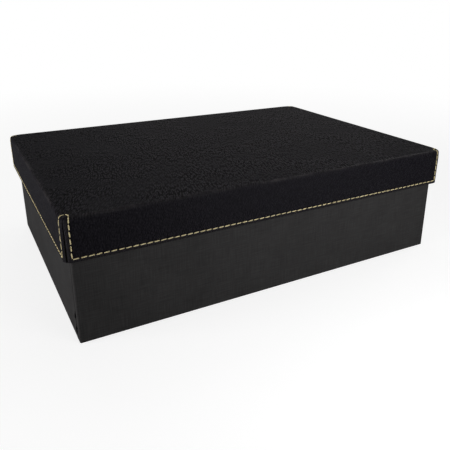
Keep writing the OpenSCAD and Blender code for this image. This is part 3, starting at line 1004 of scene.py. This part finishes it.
# A stitch's shape: how far along it, how thick, and how high it lies in its own half heights.
STITCH_FORM = [
    (0.0, 0.5, -0.55), (0.07, 0.8, -0.12), (0.2, 1.0, 0.0), (0.5, 1.04, 0.06),
    (0.8, 1.0, 0.0), (0.93, 0.8, -0.12), (1.0, 0.5, -0.55),
]


def stitch_template():
    """One stitch along X, from 0 to 1; its width along Y and its height along Z are real."""
    mesh = bmesh.new()
    twist = mesh.loops.layers.uv.new("thread")
    bmesh.ops.create_circle(mesh, cap_ends=True, segments=THREAD_SIDES, radius=1)
    bmesh.ops.rotate(mesh, verts=mesh.verts, cent=(0, 0, 0), matrix=Matrix.Rotation(pi / 2, 3, "Y"))
    first = mesh.faces[:]
    tip = first
    rings = [mesh.verts[:]]
    for _ in STITCH_FORM[1:]:
        made = bmesh.ops.extrude_face_region(mesh, geom=tip)["geom"]
        rings.append([e for e in made if isinstance(e, bmesh.types.BMVert)])
        if tip is not first:
            bmesh.ops.delete(mesh, geom=tip, context="FACES_ONLY")
        tip = [e for e in made if isinstance(e, bmesh.types.BMFace)]
    for ring, (share, girth, lift) in zip(rings, STITCH_FORM):
        for vert in ring:
            width = vert.co.y * girth * THREAD_HALF_W
            height = (vert.co.z * girth + lift) * THREAD_HALF_H
            vert.co = (share, width, height)
    bmesh.ops.recalc_face_normals(mesh, faces=mesh.faces)
    for face in mesh.faces:
        face.smooth = True
        middle = face.calc_center_median()
        base = atan2(middle.z, middle.y)
        for loop in face.loops:
            angle = atan2(loop.vert.co.z, loop.vert.co.y) - base
            angle = base + (angle + pi) % (2 * pi) - pi
            loop[twist].uv = (loop.vert.co.x * STITCH_PITCH / MM, angle / (2 * pi))
    data = bpy.data.meshes.new("stitch_template")
    mesh.to_mesh(data)
    mesh.free()
    return data


template = stitch_template()
thread_mesh = bmesh.new()


def lay_stitch(start, end, outwards, slant=STITCH_SLANT, gap=STITCH_GAP, bend=None):
    """Lays a stitch from hole to hole on a face; bend moves its points where the face is round."""
    already = len(thread_mesh.verts)
    thread_mesh.from_mesh(template)
    thread_mesh.verts.ensure_lookup_table()
    heading = end - start
    length = heading.length - gap
    way = heading.normalized()
    side = outwards.cross(way)
    for vert in thread_mesh.verts[already:]:
        x, y, z = vert.co
        run = gap / 2 + x * length
        y += slant * (2 * x - 1)
        if bend:
            vert.co = bend(run, y, z + THREAD_LIFT)
        else:
            vert.co = start + way * run + side * y + outwards * (z + THREAD_LIFT)


# Each flap has its hem row and its two legs, from the hem up.
for side in range(4):
    quarter = Matrix.Rotation(side * pi / 2, 3, "Z")
    half_run = (HALF_L if side % 2 == 0 else HALF_W) - LEG_INSET
    reach = HALF_W if side % 2 == 0 else HALF_L
    outwards = quarter @ Vector((0, -1, 0))
    pitch = even_pitch(2 * half_run)
    count = round(2 * half_run / pitch)
    leg_pitch = STITCH_PITCH if side % 2 == 0 else SIDE_LEG_PITCH
    rows = [[(number * pitch - half_run, HEM_Z) for number in range(count + 1)]]
    for leg in (-half_run, half_run):
        rows.append([(leg, HEM_Z + number * leg_pitch) for number in range(LEG_STITCHES + 1)])
    for row in rows:
        holes = [quarter @ Vector((across, -reach, height)) for across, height in row]
        for start, end in zip(holes, holes[1:]):
            lay_stitch(start, end, outwards)

# The arch over a corner: up the rest of the front leg, over the edge, and round on the top.
EDGE_Z = TOP_Z - EDGE_R
CROWN_RUN = 1.9 * MM
CROWN_R = 2.2 * MM
CROWN_EDGE = EDGE_R * pi / 2
CROWN_CENTRE = EDGE_R + CROWN_RUN
ARCH_RISE = EDGE_Z - HEM_Z - LEG_STITCHES * STITCH_PITCH
ARCH_HALF = CROWN_EDGE + CROWN_RUN + CROWN_R * pi / 4
ARCH_STITCHES = 3
ARCH_GAP = 0.3 * MM
ARCH_PITCH = (ARCH_RISE + 2 * ARCH_HALF) / ARCH_STITCHES
ARCH_STEP = 0.1 * MM


def arch_point(run, lift):
    """A point of the arch over a corner: how far in from the side and the front, and its height.
    It climbs the front leg, goes over the edge and round on the top, and down the side."""
    run -= ARCH_RISE
    if run > ARCH_HALF:
        inwards, aside, height = arch_point(ARCH_RISE + 2 * ARCH_HALF - run, lift)
        return Vector((aside, inwards, height))
    share = min(max(run / (CROWN_EDGE + CROWN_RUN), 0), 1)
    aside = LEG_INSET + share * share * (3 - 2 * share) * (CROWN_CENTRE + CROWN_R - LEG_INSET)
    if run < 0:
        return Vector((aside, -lift, EDGE_Z + run))
    if run < CROWN_EDGE:
        radius = EDGE_R + lift
        angle = run / EDGE_R
        return Vector((aside, EDGE_R - radius * cos(angle), EDGE_Z + radius * sin(angle)))
    flat = run - CROWN_EDGE
    if flat < CROWN_RUN:
        return Vector((aside, EDGE_R + flat, TOP_Z + lift))
    angle = (flat - CROWN_RUN) / CROWN_R
    around = Vector((cos(angle), sin(angle), 0)) * CROWN_R
    return Vector((CROWN_CENTRE, CROWN_CENTRE, TOP_Z + lift)) + around


def arch_bend(x_sign, y_sign, number):
    """How one of a corner's stitches follows its arch."""

    def bend(run, across, lift):
        run += number * ARCH_PITCH
        point = arch_point(run, lift)
        ahead = arch_point(run + ARCH_STEP, lift) - arch_point(run - ARCH_STEP, lift)
        upright = arch_point(run, lift + ARCH_STEP) - point
        point += upright.cross(ahead).normalized() * across
        return Vector((x_sign * (HALF_L - point.x), y_sign * (HALF_W - point.y), point.z))

    return bend


for x_sign in (-1, 1):
    for y_sign in (-1, 1):
        for number in range(ARCH_STITCHES):
            lay_stitch(
                Vector(), Vector((ARCH_PITCH, 0, 0)), Vector((0, 0, 1)), slant=0, gap=ARCH_GAP,
                bend=arch_bend(x_sign, y_sign, number),
            )
for vert in thread_mesh.verts:
    vert.co += drawn_in(vert.co)
bmesh.ops.recalc_face_normals(thread_mesh, faces=thread_mesh.faces)

# Three plies wind round the thread; the grooves between them are coloured dark and deep gold as
# painted shade.
PLIES = 3.0
PLIES_PER_MM = 0.62
GROOVE_SHARE = 0.3
THREAD_RELIEF = 0.08 * MM
THREAD_COLOURS_WITH_GROOVE_SHADE = [
    (0.0, (0.42, 0.27, 0.06)), (0.4, (0.82, 0.66, 0.29)), (1.0, (0.94, 0.84, 0.53)),
]
cream_thread, tree, shader = new_finish("cream_thread", Roughness=0.55, Specular_IOR_Level=0.35)
link = tree.links.new
thread_uv = add_node(tree, "ShaderNodeUVMap", uv_map="thread")
split = add_node(tree, "ShaderNodeSeparateXYZ")
lay = add_node(tree, "ShaderNodeMath", operation="MULTIPLY_ADD")
lay.inputs[1].default_value = PLIES_PER_MM
wave = add_node(tree, "ShaderNodeMath", operation="PINGPONG")
wave.inputs[1].default_value = 0.5
turns = add_node(tree, "ShaderNodeMath", operation="MULTIPLY")
turns.inputs[1].default_value = PLIES
link(thread_uv.outputs["UV"], split.inputs[0])
link(split.outputs["Y"], turns.inputs[0])
link(split.outputs["X"], lay.inputs[0])
link(turns.outputs[0], lay.inputs[2])
link(lay.outputs[0], wave.inputs[0])
ply = add_node(tree, "ShaderNodeMapRange", interpolation_type="SMOOTHSTEP")
ply.inputs["From Max"].default_value = GROOVE_SHARE
link(wave.outputs[0], ply.inputs["Value"])
thread_colour_with_groove_shade = colour_ramp(tree, ply.outputs["Result"], THREAD_COLOURS_WITH_GROOVE_SHADE)
link(thread_colour_with_groove_shade, shader.inputs["Base Color"])
bump(tree, shader, ply.outputs["Result"], THREAD_RELIEF)
add_piece("lid_seam_thread", thread_mesh, cream_thread, "lid", "thread", "lid_stitching")
